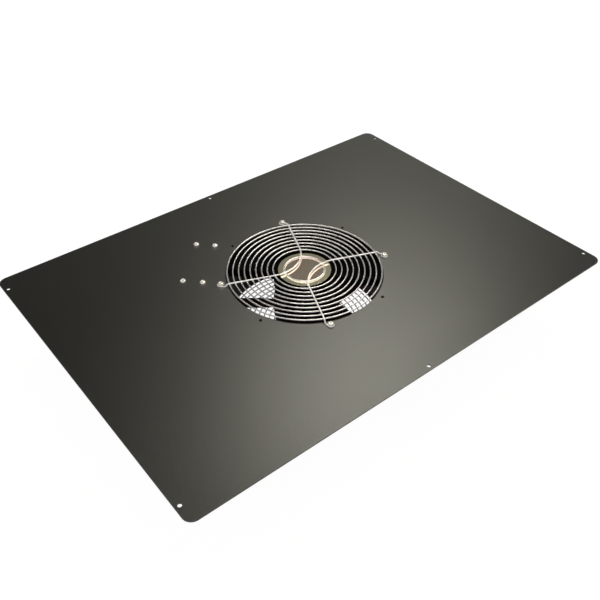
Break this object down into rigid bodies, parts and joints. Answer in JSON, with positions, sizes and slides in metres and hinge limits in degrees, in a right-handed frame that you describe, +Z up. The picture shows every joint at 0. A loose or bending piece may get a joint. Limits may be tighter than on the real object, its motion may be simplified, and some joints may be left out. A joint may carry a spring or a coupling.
{
  "type": "rack fan tray",
  "caption": "Black rack-mount top panel with a guarded axial fan hung under a round cut-out and a connection box beside it, to draw air up and out of an equipment cabinet.",
  "frame": {"origin": "centre of the four corner rack holes, on the panel's underside", "axes": "+X along the panel's long side, +Y along its short side, +Z up out of the rack, square to the panel"},
  "size_m": [0.705, 0.5, 0.1034],
  "materials": {
    "panel_black": "semi-gloss black powder coat",
    "cast_black": "die-cast aluminium painted matt black",
    "rotor_black": "pressed steel painted matt black",
    "blade_black": "moulded glass-filled plastic, matt black",
    "guard_chrome": "bright chrome-plated steel wire",
    "disc_satin": "satin plated steel sheet",
    "screw_plated": "bright nickel-plated steel",
    "nut_zinc": "zinc-plated steel",
    "bearing_steel": "ground bearing steel",
    "shaft_steel": "turned steel",
    "lamination": "stacked electrical steel sheet",
    "copper_wire": "varnished copper wire",
    "terminal_brass": "tinned brass",
    "black_plastic": "moulded nylon, matt black",
    "ivory_plastic": "moulded polyamide, ivory"
  },
  "bodies": {
    "tray": {"top_plate": "panel_black", "box_body": "panel_black", "box_cover": "panel_black", "fan_housing": "cast_black", "motor_mount": "cast_black", "terminal_block": "black_plastic", "terminal_tabs": "terminal_brass", "dust_cap": "black_plastic", "bearing_tube": "nut_zinc", "bearing_spacer": "shaft_steel", "bearing_outer_rings": "bearing_steel", "stator_stack": "lamination", "stator_windings": "copper_wire", "upper_guard_rings": "guard_chrome", "upper_guard_wire_a": "guard_chrome", "upper_guard_wire_b": "guard_chrome", "upper_guard_disc": "disc_satin", "lower_guard_rings": "guard_chrome", "lower_guard_wire_a": "guard_chrome", "lower_guard_wire_b": "guard_chrome", "lower_guard_disc": "disc_satin", "upper_guard_screws": "screw_plated", "lower_guard_screws": "screw_plated", "box_screws": "screw_plated", "cover_screws": "screw_plated", "upper_guard_nuts": "nut_zinc", "lower_guard_nuts": "nut_zinc", "box_nuts": "nut_zinc", "cord_gland": "black_plastic", "gland_cap": "black_plastic", "gland_locknut": "black_plastic", "lead_bushing": "black_plastic", "terminal_strip": "ivory_plastic", "strip_clamps": "terminal_brass", "strip_screws": "nut_zinc"},
    "rotor": {"rotor_cup": "rotor_black", "rotor_cage": "lamination", "rotor_shaft": "shaft_steel", "preload_washer": "shaft_steel", "shaft_clip": "shaft_steel", "impeller": "blade_black", "bearing_inner_rings": "bearing_steel", "bearing_balls": "bearing_steel"}
  },
  "joints": [
    {"name": "rotor_spin", "type": "hinge", "parent": "tray", "child": "rotor", "pos_m": [0, 0, -0.0445], "axis": [0, 0, 1], "continuous": true}
  ]
}
